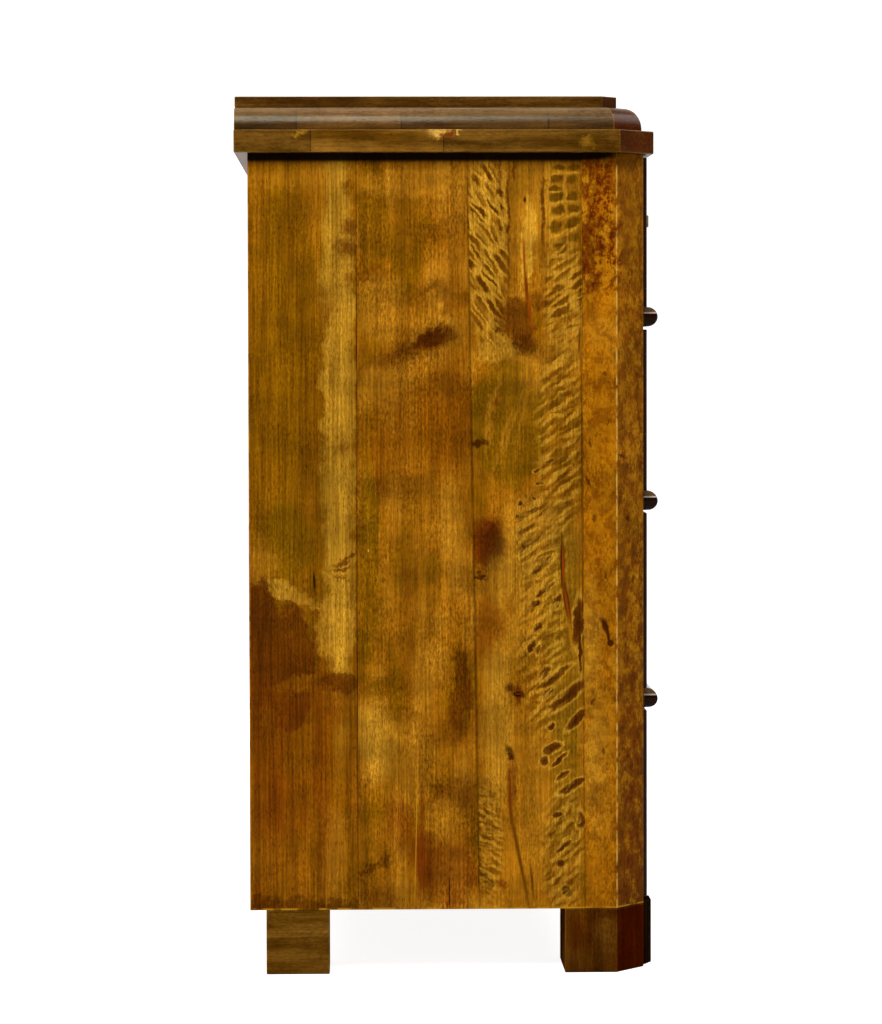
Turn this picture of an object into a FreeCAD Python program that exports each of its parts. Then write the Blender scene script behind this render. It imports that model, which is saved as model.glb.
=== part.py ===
import FreeCAD, Part
import math
import os

from FreeCAD import Vector

# Chest of four drawers with canted front corners, a stepped moulded top, block feet and
# drawer fronts that stand proud as one block between the corner posts.
# Millimetres. +Z is up, the front faces -Y, left is -X. The origin is on the floor, under the
# middle of the overall box, which runs from the bow of the key to the back edge of the top.

# Case
case_width = 1100.0
case_depth = 476.0
case_height = 907.0
side_thickness = 22.0
seam_ease = 0.6
rear_board_width = 130.0
middle_board_width_top = 132.0
middle_board_width_bottom = 146.0

# Corner posts
corner_cant = 35.0
post_flat = 27.0
post_depth_top = 77.0
post_depth_bottom = 73.0

# Rails, runners and guides behind the drawer fronts
rail_thickness = 20.0
tenon_length = 14.0
tenon_shoulder = 4.0
runner_lip = 8.0
guide_height = 32.0

# Back and bottom
back_thickness = 14.0
back_rebate = 12.0
back_lap = 8.0
bottom_rebate = 9.0

# Stepped top
top_side_overhang = 14.0
top_front_overhang = 12.0
top_back_overhang = 16.0
top_cant = 44.0
top_board_thickness = 27.0
top_arris = 1.2
cornice_inset = 14.0
cornice_height = 28.5
cornice_round_width = 22.0
cornice_round_height = 26.0
cornice_width = 44.0
top_panel_inset = 43.5
top_panel_thickness = 14.0

# Feet
foot_height = 77.6
front_foot_side_width = 62.8
front_foot_width = 90.0
foot_facing_width = 47.0
foot_facing_bevel = 20.0
foot_facing_proud = 11.8
rear_foot_width = 76.0
rear_foot_depth = 76.0
rear_foot_inset = 19.3

# Drawer fronts, from the top down. The bottom front takes the height that is left.
top_front_height = 205.0
second_front_height = 220.0
third_front_height = 237.5
top_reveal = 2.5
front_gap = 3.4
bottom_reveal = 3.3
front_thickness = 25.0
front_proud = 7.0
front_arris = 0.8

# Drawer boxes
drawer_play = 1.0
drawer_headroom = 4.0
drawer_side_thickness = 13.0
drawer_back_thickness = 13.0
drawer_back_drop = 9.0
drawer_back_gap = 12.0
drawer_bottom_thickness = 8.0
drawer_bottom_lift = 8.0
groove_depth = 6.0

# Dovetails
tail_lap = 17.0
tail_pitch = 46.0
tail_root_share = 0.52
tail_slope_share = 1.0 / 7.0

# Half-round pulls along the bottom of the three upper fronts
pull_radius = 12.0
pull_clearance = 0.5

# Lock, bolt, key and keyhole plate of the top drawer
lock_width = 72.0
lock_height = 60.0
lock_depth = 14.0
lock_wall = 2.0
lock_clearance = 1.0
key_drop = 40.0
bolt_width = 26.0
bolt_thickness = 5.0
bolt_height = 27.0
bolt_setback = 4.0
bolt_play = 0.3
bolt_throw = 8.0
mortise_spare = 1.5
stud_size = 3.0
key_reach = 48.0
key_shank_radius = 3.2
key_collar_radius = 4.6
key_collar_length = 4.0
key_play = 0.3
bit_reach = 11.0
bit_thickness = 2.8
bit_length = 5.0
bow_height = 16.4
bow_length = 22.0
bow_rim = 4.0
bow_thickness = 4.0
bow_arris = 0.8
plate_half_width = 11.0
plate_half_height = 20.0
plate_thickness = 2.0

# How far a cutting shape runs past the piece that it cuts
overrun = 5.0

# Levels and faces worked out from the sizes above
case_half = case_width / 2
inner_half = case_half - side_thickness
opening_half = case_half - corner_cant - post_flat
drawer_half = opening_half - drawer_play
case_top = foot_height + case_height
y_front = (front_proud + key_reach - case_depth - top_back_overhang) / 2
y_back = y_front + case_depth
y_top_back = y_back + top_back_overhang
y_face = y_front - front_proud
y_front_back = y_face + front_thickness
y_rail_back = y_front + post_depth_top
y_back_inside = y_back - back_thickness
y_drawer_back = y_back_inside - drawer_back_gap
drawer_side_inside = drawer_half - drawer_side_thickness
upper_front_heights = [top_front_height, second_front_height, third_front_height]
key_axis_z = case_top - rail_thickness - lock_clearance - key_drop

SIDEWAYS = Vector(1, 0, 0)
ORIGIN = Vector(0, 0, 0)


def front_levels():
    """Top and bottom of each drawer front, from the top drawer down."""
    levels = []
    top = case_top - top_reveal
    for height in upper_front_heights:
        levels.append((top, top - height))
        top -= height + front_gap
    levels.append((top, foot_height + bottom_reveal))
    return levels


def rail_levels():
    """Underside of the top rail, of the rail behind each gap between fronts, and of the bottom rail."""
    undersides = [case_top - rail_thickness]
    for _, front_bottom in front_levels()[:-1]:
        undersides.append(front_bottom - front_gap / 2 - rail_thickness / 2)
    undersides.append(foot_height)
    return undersides


def box_levels(number):
    """Underside and top of the drawer box with this number, 0 at the top."""
    undersides = rail_levels()
    return undersides[number + 1] + rail_thickness, undersides[number] - drawer_headroom


def block(x0, x1, y0, y1, z0, z1):
    """Rectangular piece between two limits on each axis."""
    return Part.makeBox(x1 - x0, y1 - y0, z1 - z0, Vector(x0, y0, z0))


def closed_face(points):
    return Part.Face(Part.makePolygon(points + points[:1]))


def plan_prism(outline, z0, z1):
    """Upright piece with this outline in plan."""
    return closed_face([Vector(x, y, z0) for x, y in outline]).extrude(Vector(0, 0, z1 - z0))


def side_prism(outline, x0, x1):
    """Piece with this outline of (y, z) points, seen from the side."""
    return closed_face([Vector(x0, y, z) for y, z in outline]).extrude(Vector(x1 - x0, 0, 0))


def front_prism(outline, y0, y1):
    """Piece with this outline of (x, z) points, seen from the front."""
    return closed_face([Vector(x, y0, z) for x, z in outline]).extrude(Vector(0, y1 - y0, 0))


def mirrored(shape):
    return shape.mirror(ORIGIN, SIDEWAYS)


def save(node, *solids):
    """Write one node, made of one or more separate solids."""
    shape = solids[0] if len(solids) == 1 else Part.makeCompound(list(solids))
    shape.exportStep("parts/" + node + ".step")


def save_pair(node, shape):
    """Write a left piece and its mirror image on the right."""
    save("left_" + node, shape)
    save("right_" + node, mirrored(shape))


def ease_outer_seams(board):
    """Small chamfers on the upright outer edges, so that joints between boards show as fine lines."""
    outer = [
        edge
        for edge in board.Edges
        if all(abs(vertex.X + case_half) < seam_ease for vertex in edge.Vertexes)
        and abs(edge.Vertexes[0].Z - edge.Vertexes[1].Z) > case_height / 2
    ]
    return board.makeChamfer(seam_ease, outer)


def side_board(y0_top, y1_top, y0_bottom, y1_bottom):
    """One upright board of the left side, with the rebate for the bottom board."""
    outline = [
        (y0_bottom, foot_height),
        (y0_top, case_top),
        (y1_top, case_top),
        (y1_bottom, foot_height),
    ]
    board = side_prism(outline, -case_half, -inner_half)
    rebate_x = -inner_half - bottom_rebate
    rebate_top = foot_height + rail_thickness
    rebate = block(rebate_x, 0, y_rail_back, y_back + overrun, 0, rebate_top)
    return ease_outer_seams(board.cut(rebate))


def build_sides():
    post_top = y_front + post_depth_top
    post_bottom = y_front + post_depth_bottom
    rear_seam = y_back - rear_board_width
    seam_top = rear_seam - middle_board_width_top
    seam_bottom = rear_seam - middle_board_width_bottom
    rear = side_board(rear_seam, y_back, rear_seam, y_back)
    rebate = block(-inner_half - back_rebate, 0, y_back_inside, y_back + overrun, 0, case_top + overrun)
    save_pair("side_rear_board", rear.cut(rebate))
    save_pair("side_middle_board", side_board(seam_top, rear_seam, seam_bottom, rear_seam))
    save_pair("side_front_board", side_board(post_top, seam_top, post_bottom, seam_bottom))


def build_posts():
    """Canted corner post with a mortise for the end of each rail."""
    plan = [
        (-case_half, y_front + post_depth_top),
        (-case_half, y_front + corner_cant),
        (-case_half + corner_cant, y_front),
        (-opening_half, y_front),
        (-opening_half, y_front + post_depth_top),
    ]
    profile = [
        (y_front, foot_height),
        (y_front, case_top),
        (y_front + post_depth_top, case_top),
        (y_front + post_depth_bottom, foot_height),
    ]
    post = plan_prism(plan, foot_height, case_top).common(side_prism(profile, -case_half, 0))
    for underside in rail_levels():
        post = post.cut(rail(underside))
    save_pair("corner_post", post)


def rail(underside):
    """Rail between the posts, with a tenon on each end."""
    top = underside + rail_thickness
    body = block(-opening_half, opening_half, y_front_back, y_rail_back, underside, top)
    tenon_half = opening_half + tenon_length
    tenons = block(
        -tenon_half,
        tenon_half,
        y_front_back + tenon_shoulder,
        y_rail_back - tenon_shoulder - (post_depth_top - post_depth_bottom),
        underside + tenon_shoulder,
        top - tenon_shoulder,
    )
    return body.fuse(tenons).removeSplitter()


def bolt_y_range(play):
    y0 = y_front_back + bolt_setback
    return y0 - play, y0 + bolt_thickness + play


def build_rails():
    undersides = rail_levels()
    y0, y1 = bolt_y_range(bolt_play)
    mortise_half = bolt_width / 2 + bolt_play
    mortise_depth = bolt_throw + mortise_spare - lock_clearance
    underside = undersides[0]
    mortise = block(-mortise_half, mortise_half, y0, y1, underside - overrun, underside + mortise_depth)
    save("top_rail", rail(underside).cut(mortise))
    for number, underside in enumerate(undersides[1:-1], start=1):
        save("drawer_rail_%d" % number, rail(underside))
    save("bottom_rail", rail(undersides[-1]))


def build_runners():
    """Runners under the drawers, strips over the top drawer that stop it tipping, and side guides."""
    runner_inside = drawer_side_inside - runner_lip
    runners = []
    guides = []
    undersides = rail_levels()
    for underside in undersides[:-1]:
        top = underside + rail_thickness
        runners.append(block(-inner_half, -runner_inside, y_rail_back, y_back_inside, underside, top))
    for underside in undersides[1:]:
        top = underside + rail_thickness
        guide_top = top + guide_height
        guides.append(block(-inner_half, -opening_half, y_rail_back, y_back_inside, top, guide_top))
    save("drawer_runners", *runners, *[mirrored(runner) for runner in runners])
    save("drawer_guides", *guides, *[mirrored(guide) for guide in guides])


def build_bottom():
    half = inner_half + bottom_rebate
    top = foot_height + rail_thickness
    save("bottom_board", block(-half, half, y_rail_back, y_back_inside, foot_height, top))


def build_back():
    """Three level boards, lapped on each other and let into the rebates of the sides."""
    half = inner_half + back_rebate
    names = ["back_board_bottom", "back_board_middle", "back_board_top"]
    height = case_height / len(names)
    y_half = y_back_inside + back_thickness / 2
    for number, name in enumerate(names):
        z0 = foot_height + number * height
        z1 = z0 + height
        inner_low = z0 if number == 0 else z0 + back_lap
        inner_high = z1 if z1 > case_top - back_lap else z1 + back_lap
        outer = block(-half, half, y_half, y_back, z0, z1)
        inner = block(-half, half, y_back_inside, y_half, inner_low, inner_high)
        save(name, outer.fuse(inner).removeSplitter())


def top_outline(inset):
    """Plan of the top from back left to back right, drawn in by the inset at sides, cants and front."""
    half = case_half + top_side_overhang - inset
    front = y_front - top_front_overhang + inset
    cant = top_cant - inset * (2 - math.sqrt(2))
    return [
        (-half, y_top_back),
        (-half, front + cant),
        (-half + cant, front),
        (half - cant, front),
        (half, front + cant),
        (half, y_top_back),
    ]


def cornice_profile(start, outward):
    """Quarter-round section that stands on the top board, at a point of the board's outer edge."""
    z0 = case_top + top_board_thickness
    fillet = cornice_height - cornice_round_height

    def at(inset, height):
        return start - outward * inset + Vector(0, 0, z0 + height)

    shoulder = cornice_inset + cornice_round_width
    nose = at(cornice_inset, fillet)
    top = at(shoulder, cornice_height)
    curve = quarter_round(at(shoulder, fillet), nose, top)
    inner = cornice_inset + cornice_width
    corners = [top, at(inner, cornice_height), at(inner, 0), at(cornice_inset, 0), nose]
    lines = [Part.makeLine(a, b) for a, b in zip(corners, corners[1:])]
    return Part.Face(Part.Wire([curve] + lines))


def quarter_round(centre, nose, top):
    """Quarter of an ellipse about the centre, between its nose and its top."""
    far, near = top, nose
    if nose.distanceToPoint(centre) > top.distanceToPoint(centre):
        far, near = nose, top
    ellipse = Part.Ellipse(far, near, centre)
    start = ellipse.parameter(nose)
    end = ellipse.parameter(top)
    if (end - start) % (2 * math.pi) > math.pi:
        start, end = end, start
    return Part.ArcOfEllipse(ellipse, start, end).toShape()


def build_cornice():
    """Quarter-round moulding in five mitred lengths round the sides, cants and front."""
    names = ["left", "left_corner", "front", "right_corner", "right"]
    edge = top_outline(0)
    inner = top_outline(cornice_inset + cornice_width)
    z0 = case_top + top_board_thickness
    for number, name in enumerate(names):
        start = Vector(*edge[number], 0)
        along = Vector(*edge[number + 1], 0) - start
        length = along.Length
        along.normalize()
        outward = Vector(along.y, -along.x, 0)
        moulding = cornice_profile(start, outward).extrude(along * length)
        mitred = [edge[number], edge[number + 1], inner[number + 1], inner[number]]
        save("cornice_" + name, moulding.common(plan_prism(mitred, z0, z0 + cornice_height)))


def build_top():
    z_board = case_top
    z_core = z_board + top_board_thickness
    z_panel = z_core + cornice_height
    board = plan_prism(top_outline(0), z_board, z_core)
    save("top_board", board.makeFillet(top_arris, board.Edges))
    save("top_core", plan_prism(top_outline(cornice_inset + cornice_width), z_core, z_panel))
    panel = plan_prism(top_outline(top_panel_inset), z_panel, z_panel + top_panel_thickness)
    save("top_panel", panel.makeFillet(top_arris, panel.Edges))


def build_feet():
    """Canted block feet in front with a proud facing, bevelled outside, and plain square ones behind."""
    foot_back = y_front + corner_cant + front_foot_side_width
    inner = case_half - front_foot_width
    plan = [
        (-case_half, foot_back),
        (-case_half, y_front + corner_cant),
        (-case_half + corner_cant, y_front),
        (-inner, y_front),
        (-inner, foot_back),
    ]
    save_pair("front_foot", plan_prism(plan, 0, foot_height))
    facing_outside = inner + foot_facing_width
    y_facing = y_front - foot_facing_proud
    facing_plan = [
        (-facing_outside, y_front),
        (-facing_outside + foot_facing_bevel, y_facing),
        (-inner, y_facing),
        (-inner, y_front),
    ]
    save_pair("foot_facing", plan_prism(facing_plan, 0, foot_height))
    rear_back = y_back - rear_foot_inset
    rear_inner = case_half - rear_foot_width
    rear = block(-case_half, -rear_inner, rear_back - rear_foot_depth, rear_back, 0, foot_height)
    save_pair("rear_foot", rear)


def tails(y_root, y_tip, z0, z1):
    """Dovetail outlines of (y, z) points, spread evenly between two levels."""
    count = max(2, round((z1 - z0) / tail_pitch))
    pitch = (z1 - z0) / count
    root = pitch * tail_root_share / 2
    tip = root + abs(y_tip - y_root) * tail_slope_share
    outlines = []
    for number in range(count):
        middle = z0 + (number + 0.5) * pitch
        low_edge = [(y_root, middle - root), (y_tip, middle - tip)]
        high_edge = [(y_tip, middle + tip), (y_root, middle + root)]
        outlines.append(low_edge + high_edge)
    return outlines


def drawer_side(low, high, back_low, back_high):
    """Left side of a drawer: lapped dovetails at the front, through dovetails at the back."""
    y_back_face = y_drawer_back - drawer_back_thickness
    outline = [
        (y_front_back, low),
        (y_front_back, high),
        (y_back_face, high),
        (y_back_face, back_low),
        (y_drawer_back, back_low),
        (y_drawer_back, low),
    ]
    side = side_prism(outline, -drawer_half, -drawer_side_inside)
    front_tails = tails(y_front_back, y_front_back - tail_lap, low, high)
    back_tails = tails(y_back_face, y_drawer_back, back_low, back_high)
    for tail in front_tails + back_tails:
        side = side.fuse(side_prism(tail, -drawer_half, -drawer_side_inside))
    return side.removeSplitter()


def keyhole():
    """Round hole with a slot below it, through the front and its plate."""
    radius = key_shank_radius + key_play
    hole = Part.makeCylinder(radius, front_thickness, Vector(0, y_face, key_axis_z), Vector(0, 1, 0))
    slot_half = bit_thickness / 2 + key_play
    slot_low = key_axis_z - bit_reach - key_play
    slot = block(-slot_half, slot_half, y_face, y_front_back, slot_low, key_axis_z)
    return hole.fuse(slot)


def key_plate():
    """Lozenge let into the top drawer's front round the keyhole."""
    middle = key_axis_z - bit_reach / 2
    lozenge = [
        (0, middle - plate_half_height),
        (plate_half_width, middle),
        (0, middle + plate_half_height),
        (-plate_half_width, middle),
    ]
    return front_prism(lozenge, y_face, y_face + plate_thickness)


def drawer_front(number, side, bottom):
    """Front board, eased round its face and cut for the sides and the bottom."""
    top, low = front_levels()[number]
    front = block(-drawer_half, drawer_half, y_face, y_front_back, low, top)
    face_edges = [edge for edge in front.Edges if edge.BoundBox.YMax < y_face + front_arris]
    front = front.makeChamfer(front_arris, face_edges)
    front = front.cut(side).cut(mirrored(side)).cut(bottom)
    if number == 0:
        front = front.cut(key_plate()).cut(keyhole())
    return front


def half_disc(middle, outward):
    """Half disc of the pull's section that stands out from an upright line."""
    top = middle + Vector(0, 0, pull_radius)
    low = middle - Vector(0, 0, pull_radius)
    arc = Part.Arc(top, middle + outward * pull_radius, low).toShape()
    return Part.Face(Part.Wire([arc, Part.makeLine(low, top)]))


def pull(low):
    """Half-round along the bottom of a front, with mitred returns round the ends."""
    middle = low + pull_radius
    reach = pull_radius + overrun
    z0 = middle - reach
    z1 = middle + reach
    corner = (-drawer_half + overrun, y_face + overrun)
    tip = (-drawer_half - reach, y_face - reach)
    far_corner = (-corner[0], corner[1])
    far_tip = (-tip[0], tip[1])
    strip = half_disc(Vector(-drawer_half - reach, y_face, middle), Vector(0, -1, 0))
    strip = strip.extrude(Vector(2 * (drawer_half + reach), 0, 0))
    strip = strip.common(plan_prism([corner, tip, far_tip, far_corner], z0, z1))
    y_return = y_front - pull_clearance
    end = half_disc(Vector(-drawer_half, y_return, middle), Vector(-1, 0, 0))
    end = end.extrude(Vector(0, y_face - reach - y_return, 0))
    end = end.common(plan_prism([corner, tip, (tip[0], corner[1])], z0, z1))
    return strip, end, mirrored(end)


def build_drawer(number):
    name = "drawer_%d_" % (number + 1)
    low, high = box_levels(number)
    bottom_low = low + drawer_bottom_lift
    back_low = bottom_low + drawer_bottom_thickness
    back_high = high - drawer_back_drop
    side = drawer_side(low, high, back_low, back_high)
    half = drawer_side_inside + groove_depth
    bottom = block(-half, half, y_front_back - groove_depth, y_drawer_back, bottom_low, back_low)
    y_back_face = y_drawer_back - drawer_back_thickness
    back = block(-drawer_half, drawer_half, y_back_face, y_drawer_back, back_low, back_high)
    save(name + "front", drawer_front(number, side, bottom))
    save(name + "left_side", side.cut(bottom))
    save(name + "right_side", mirrored(side.cut(bottom)))
    save(name + "back", back.cut(side).cut(mirrored(side)))
    save(name + "bottom", bottom)
    if number < len(upper_front_heights):
        save(name + "pull", *pull(front_levels()[number][1]))


def build_lock():
    """Iron box lock behind the top drawer's front, its bolt, its key and the plate round the keyhole."""
    top = rail_levels()[0] - lock_clearance
    bolt_low = top - bolt_height
    half = lock_width / 2
    y_lock_back = y_front_back + lock_depth
    y0, y1 = bolt_y_range(bolt_play)
    slot_half = bolt_width / 2 + bolt_play
    case = block(-half, half, y_front_back, y_lock_back, top - lock_height, top)
    hollow = block(
        -half + lock_wall,
        half - lock_wall,
        y_front_back,
        y_lock_back - lock_wall,
        top - lock_height + lock_wall,
        top - lock_wall,
    )
    case = case.cut(hollow).cut(block(-slot_half, slot_half, y0, y1, top - lock_wall, top))
    for side in (-1, 1):
        x0, x1 = sorted((side * bolt_width / 2, side * (bolt_width / 2 - stud_size)))
        case = case.fuse(block(x0, x1, y0, y_lock_back - lock_wall, bolt_low - stud_size, bolt_low))
    save("lock_case", case.removeSplitter())
    y0, y1 = bolt_y_range(0)
    save("lock_bolt", block(-bolt_width / 2, bolt_width / 2, y0, y1, bolt_low, top))
    save("drawer_key", key())
    save("keyhole_plate", key_plate().cut(keyhole()))


def key():
    """Key with a flat square-ended bow, upright at rest, and its bit hanging down inside the lock."""
    y_tip = y_face - key_reach
    y_bow = y_tip + bow_length
    y_bit = y_front_back + bolt_setback
    y_end = y_bit + bit_length
    y_shank = y_bow - bow_rim / 2
    inward = Vector(0, 1, 0)
    shank_start = Vector(0, y_shank, key_axis_z)
    shank = Part.makeCylinder(key_shank_radius, y_end - y_shank, shank_start, inward)
    collar_start = Vector(0, y_bow, key_axis_z)
    collar = Part.makeCylinder(key_collar_radius, key_collar_length, collar_start, inward)
    bit_half = bit_thickness / 2
    bit = block(-bit_half, bit_half, y_bit, y_end, key_axis_z - bit_reach, key_axis_z)
    middle = Vector(-bow_thickness / 2, y_tip + bow_length / 2, key_axis_z)
    hole = oval(middle, bow_height / 2 - bow_rim, bow_length / 2 - bow_rim)
    bow_half = bow_thickness / 2
    bow_low = key_axis_z - bow_height / 2
    bow = block(-bow_half, bow_half, y_tip, y_bow, bow_low, bow_low + bow_height).cut(hole)
    bow = bow.makeFillet(bow_arris, bow.Edges)
    return bow.fuse(shank).fuse(collar).fuse(bit).removeSplitter()


def oval(middle, half_height, half_length):
    """Oval along the key, as thick as the bow."""
    crown = middle + Vector(0, 0, half_height)
    end = middle + Vector(0, half_length, 0)
    ellipse = Part.Ellipse(end, crown, middle)
    return Part.Face(Part.Wire(ellipse.toShape())).extrude(Vector(bow_thickness, 0, 0))


def main():
    os.makedirs("parts", exist_ok=True)
    build_sides()
    build_posts()
    build_rails()
    build_runners()
    build_bottom()
    build_back()
    build_feet()
    build_top()
    build_cornice()
    for number in range(len(front_levels())):
        build_drawer(number)
    build_lock()


if __name__ == "__main__":
    main()
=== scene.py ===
import itertools
import math

import bmesh
import bpy
from mathutils import Euler, Matrix, Vector


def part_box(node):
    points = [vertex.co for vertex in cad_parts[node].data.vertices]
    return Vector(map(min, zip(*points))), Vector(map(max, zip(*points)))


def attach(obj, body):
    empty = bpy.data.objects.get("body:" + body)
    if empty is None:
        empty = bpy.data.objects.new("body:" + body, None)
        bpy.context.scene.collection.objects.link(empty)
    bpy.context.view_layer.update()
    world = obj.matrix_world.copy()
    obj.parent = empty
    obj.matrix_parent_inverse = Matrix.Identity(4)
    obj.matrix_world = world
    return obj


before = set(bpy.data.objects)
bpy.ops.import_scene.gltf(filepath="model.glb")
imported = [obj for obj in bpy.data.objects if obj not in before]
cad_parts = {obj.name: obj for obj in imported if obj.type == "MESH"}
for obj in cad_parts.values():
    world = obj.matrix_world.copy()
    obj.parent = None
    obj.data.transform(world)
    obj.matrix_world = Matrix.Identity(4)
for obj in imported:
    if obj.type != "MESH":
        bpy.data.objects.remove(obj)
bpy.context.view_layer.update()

# A birch chest of four drawers: honey-coloured figured sides, darker stained top, feet and pulls,
# pine inside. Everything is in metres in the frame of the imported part: +Z up, the front faces -Y.
MM = 0.001


def stain(red, green, blue):
    """A colour as it is seen, each part out of 255."""

    def light(part):
        part /= 255
        return part / 12.92 if part <= 0.04045 else ((part + 0.055) / 1.055) ** 2.4

    return (light(red), light(green), light(blue), 1.0)


# Birch under old shellac, from the palest streak to the darkest mark
WORN = stain(212, 160, 66)
PALE = stain(188, 134, 30)
STRAW = stain(166, 118, 24)
GOLD = stain(168, 110, 17)
HONEY = stain(146, 89, 6)
AMBER = stain(170, 104, 5)
CHESTNUT = stain(160, 76, 3)
OLIVE = stain(121, 76, 1)
MOSS = stain(114, 76, 1)
LICHEN = stain(128, 90, 8)
BURL_GOLD = stain(184, 120, 14)
FLAME_PALE = stain(197, 144, 36)
FLAME_DARK = stain(76, 40, 1)
FLAME_CELL = stain(90, 56, 1)
BROWN = stain(114, 62, 1)
UMBER = stain(88, 42, 1)
RUST = stain(108, 42, 1)
RED_CRACK = stain(140, 58, 4)
SMOKE = stain(58, 20, 0)
PITCH = stain(22, 5, 0)
# SHADOW is painted shadow, for the band under the overhang of the top
SHADOW = stain(8, 1, 0)
# Stained work, pine, iron and steel
TOP_DARK = stain(80, 48, 2)
TOP_BROWN = stain(122, 82, 22)
TOP_RED = stain(74, 28, 0)
CORNICE_DARK = stain(58, 32, 2)
CORNICE_BROWN = stain(96, 62, 16)
# Dust and painted light for what faces up
DUST_AND_TOP_LIGHT = stain(146, 116, 74)
FOOT_DARK = stain(64, 29, 1)
FOOT_BROWN = stain(90, 50, 6)
FOOT_RED = stain(64, 12, 0)
PULL_BROWN = stain(32, 10, 0)
# Painted highlight for a line along the upper curve of the pulls
HIGHLIGHT_PALE = stain(204, 196, 182)
FRONT_RED = stain(34, 10, 0)
EBONY = stain(18, 8, 3)
EBONY_BROWN = stain(36, 20, 8)
EBONY_WORN = stain(110, 74, 38)
PINE = stain(190, 146, 88)
PINE_DARK = stain(146, 98, 50)
IRON = stain(62, 58, 54)
IRON_RUST = stain(92, 58, 36)
STEEL = stain(128, 122, 104)
STEEL_DARK = stain(86, 76, 56)
# Tints of the light on the polish
CLEAR_SHEEN = (1.0, 1.0, 1.0, 1.0)
STAIN_SHEEN = (0.9, 1.0, 0.8, 1.0)


# Node trees

def fill(tree, node, inputs):
    for name, value in inputs.items():
        if isinstance(value, bpy.types.NodeSocket):
            tree.links.new(value, node.inputs[name])
        else:
            node.inputs[name].default_value = value


def put(tree, kind, inputs=None, **settings):
    """Adds a node with its settings, and fills its inputs with plain values or links."""
    node = tree.nodes.new(kind)
    for name, value in settings.items():
        setattr(node, name, value)
    fill(tree, node, inputs or {})
    return node


def calc(tree, operation, *values):
    return put(tree, "ShaderNodeMath", dict(enumerate(values)), operation=operation).outputs[0]


def vector_calc(tree, operation, *values):
    node = put(tree, "ShaderNodeVectorMath", dict(enumerate(values)), operation=operation)
    return node.outputs["Value" if operation in ("LENGTH", "DOT_PRODUCT") else "Vector"]


def spread(tree, value, low, high, out_low=0.0, out_high=1.0):
    """Eases a value from low..high to out_low..out_high and holds it beyond both ends."""
    inputs = {"Value": value, "From Min": low, "From Max": high, "To Min": out_low, "To Max": out_high}
    return put(tree, "ShaderNodeMapRange", inputs, interpolation_type="SMOOTHSTEP").outputs["Result"]


def noise(tree, place, scale, detail=2.0, output="Fac", roughness=0.5):
    inputs = {"Vector": place, "Scale": scale, "Detail": detail, "Roughness": roughness}
    return put(tree, "ShaderNodeTexNoise", inputs).outputs[output]


def drawn_noise(tree, place, repeats, detail, roughness=0.5):
    """Noise with its own number of repeats in a metre along each axis."""
    return noise(tree, vector_calc(tree, "MULTIPLY", place, repeats), 1.0, detail, roughness=roughness)


def blend(tree, share, under, over, way="MIX"):
    """Lays one colour over another by a share between 0 and 1. The Mix node has sockets of one name for each
    kind of value, so those for colours go by number."""
    inputs = {0: share, 6: under, 7: over}
    return put(tree, "ShaderNodeMix", inputs, data_type="RGBA", blend_type=way).outputs[2]


def lay(tree, colour, tone, mask, strength):
    """Lays a tone over a colour inside a mask."""
    return blend(tree, calc(tree, "MULTIPLY", mask, strength), colour, tone)


def shaded_by(tree, colour, value, low, high, darkest, lightest):
    """Darkens a colour where a value is low and lightens it where the value is high."""
    shade = spread(tree, value, low, high, darkest, lightest)
    return blend(tree, 1.0, colour, shade, "MULTIPLY")


def own_place(tree):
    return put(tree, "ShaderNodeTexCoord").outputs["Object"]


def facing(tree):
    return put(tree, "ShaderNodeNewGeometry").outputs["Normal"]


def split(tree, vector):
    return put(tree, "ShaderNodeSeparateXYZ", {0: vector}).outputs


def join(tree, **parts):
    return put(tree, "ShaderNodeCombineXYZ", parts).outputs[0]


def sideways(tree):
    """How far the surface faces left or right, from 0 to 1."""
    return calc(tree, "ABSOLUTE", split(tree, facing(tree))["X"])


def turned_back(tree, place, tilt):
    """Undoes the tilt of a figure, so that it can be drawn level."""
    inputs = {"Vector": place, "Angle": calc(tree, "MULTIPLY", tilt, -1.0)}
    return put(tree, "ShaderNodeVectorRotate", inputs, rotation_type="Z_AXIS").outputs[0]


def new_group(name, inputs, outputs):
    """A node group with its named sockets, and the sockets to use inside it."""
    group = bpy.data.node_groups.new(name, "ShaderNodeTree")
    for socket_name, kind in inputs.items():
        group.interface.new_socket(socket_name, in_out="INPUT", socket_type="NodeSocket" + kind)
    for socket_name, kind in outputs.items():
        group.interface.new_socket(socket_name, in_out="OUTPUT", socket_type="NodeSocket" + kind)
    return group, group.nodes.new("NodeGroupInput").outputs, group.nodes.new("NodeGroupOutput")


def use(tree, group, inputs=None):
    """Places a node group and gives back its outputs."""
    return put(tree, "ShaderNodeGroup", inputs, node_tree=group).outputs


def make_side_place():
    """Where a point lies on the side of the chest: metres in from the back edge and up from the bottom edge,
    straight, and shifted about for wavy outlines and for ragged ones."""
    tree, _, result = new_group("Side place", {}, {"Place": "Vector", "Wavy": "Vector", "Ragged": "Vector"})
    spot = own_place(tree)
    parts = split(tree, spot)
    back_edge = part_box("left_side_rear_board")[1].y
    bottom_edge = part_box("left_side_rear_board")[0].z
    across = calc(tree, "SUBTRACT", back_edge, parts["Y"])
    up = calc(tree, "SUBTRACT", parts["Z"], bottom_edge)
    place = join(tree, X=across, Y=up)

    def shifted(start, scale, detail, reach):
        push = noise(tree, spot, scale, detail, "Color", 0.7)
        push = vector_calc(tree, "SUBTRACT", push, (0.5, 0.5, 0.5))
        return vector_calc(tree, "ADD", start, vector_calc(tree, "MULTIPLY", push, reach))

    wavy = shifted(place, 45.0, 4.0, (0.013, 0.013, 0.0))
    torn = shifted(place, 28.0, 2.0, (0.03, 0.04, 0.0))
    ragged = shifted(torn, 190.0, 4.0, (0.014, 0.026, 0.0))
    fill(tree, result, {"Place": place, "Wavy": wavy, "Ragged": ragged})
    return tree


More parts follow.
